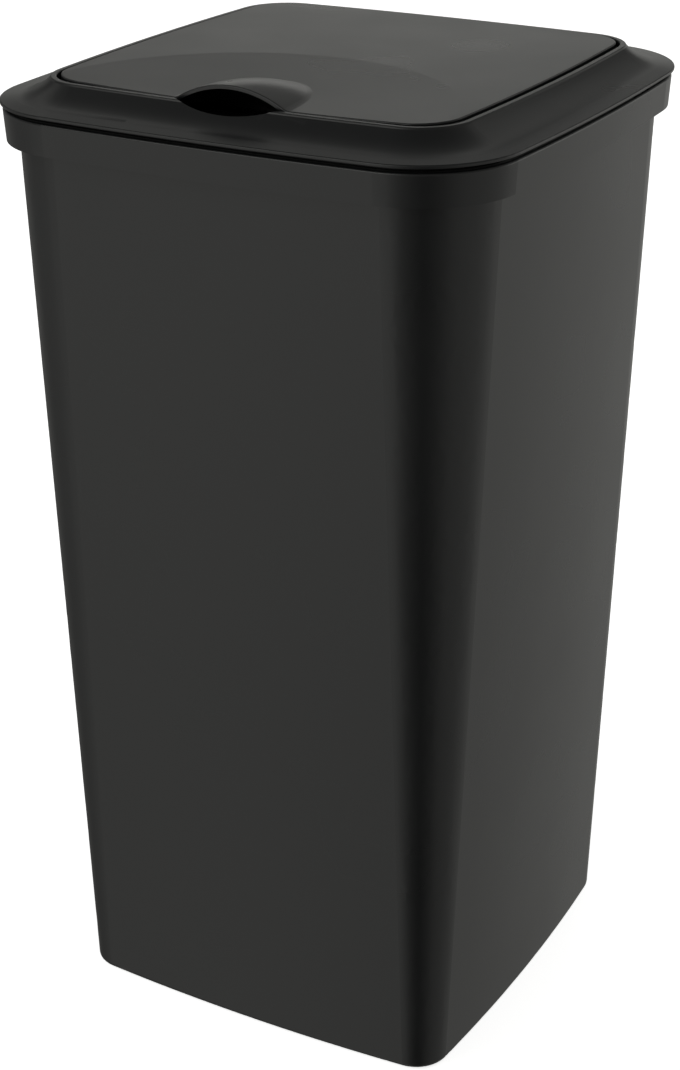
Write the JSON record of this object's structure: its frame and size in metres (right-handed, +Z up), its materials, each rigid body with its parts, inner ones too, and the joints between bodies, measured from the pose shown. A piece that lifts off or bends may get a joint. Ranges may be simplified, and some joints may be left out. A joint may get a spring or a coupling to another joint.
{
  "type": "push top countertop bin",
  "caption": "Square tapered countertop bin with a stepped collar, a lift-off lid surround and a push-latch flap with an arched finger lip, hinged at the back.",
  "frame": {"origin": "centre of the foot ring, on the surface the bin stands on", "axes": "+Z up, the finger scoop and latch at the front on -Y, the flap's hinge at the back on +Y, +X to the right seen from the front"},
  "size_m": [0.1648, 0.1648, 0.3044],
  "materials": {
    "black_polypropylene": "injection-moulded black polypropylene, fine satin",
    "natural_acetal": "natural acetal, smooth",
    "black_acetal": "black acetal, smooth",
    "zinc_plated_steel": "bright zinc-plated steel",
    "spring_steel": "drawn spring steel wire"
  },
  "bodies": {
    "bin": {"bin_body": "black_polypropylene"},
    "lid": {"lid_surround": "black_polypropylene", "hinge_cap_left": "black_polypropylene", "hinge_cap_right": "black_polypropylene", "hinge_cap_screws": "zinc_plated_steel", "torsion_spring_left": "spring_steel", "torsion_spring_right": "spring_steel", "latch_housing": "black_polypropylene", "latch_cover": "black_polypropylene", "latch_screws": "zinc_plated_steel", "latch_spring": "spring_steel"},
    "hinge_pins": {"hinge_pin_left": "zinc_plated_steel", "hinge_pin_right": "zinc_plated_steel"},
    "flap": {"flap_panel": "black_polypropylene", "flap_liner": "black_polypropylene", "flap_liner_screws": "zinc_plated_steel", "latch_post": "black_acetal", "latch_post_screws": "zinc_plated_steel"},
    "slider": {"latch_slider": "natural_acetal"},
    "follower": {"latch_follower": "spring_steel"}
  },
  "joints": [
    {"name": "lid_lift", "type": "slide", "parent": "bin", "child": "lid", "axis": [0, 0, 1], "range_m": [0, 0.05]},
    {"name": "flap_open", "type": "hinge", "parent": "lid", "child": "hinge_pins", "pos_m": [0, 0.047, 0.2938], "axis": [-1, 0, 0], "range_deg": [0, 85]},
    {"name": "flap_press", "type": "hinge", "parent": "hinge_pins", "child": "flap", "pos_m": [0, 0.047, 0.2938], "axis": [-1, 0, 0], "range_deg": [-1.5, 0], "stiffness_Nm_per_rad": 4, "springref_deg": 1.72},
    {"name": "latch_slide", "type": "slide", "parent": "lid", "child": "slider", "axis": [0, 0, 1], "range_m": [-0.0024, 0], "deforming": ["latch_spring"]},
    {"name": "follower_swing", "type": "hinge", "parent": "lid", "child": "follower", "pos_m": [0, -0.0346, 0.2656], "axis": [0, 1, 0], "range_deg": [0, 6]}
  ],
  "couplings": [
    {"joint": "latch_slide", "follows": "flap_press", "m_per_rad": 0.0881},
    {"joint": "follower_swing", "follows": "flap_press", "ratio": -3.8}
  ]
}
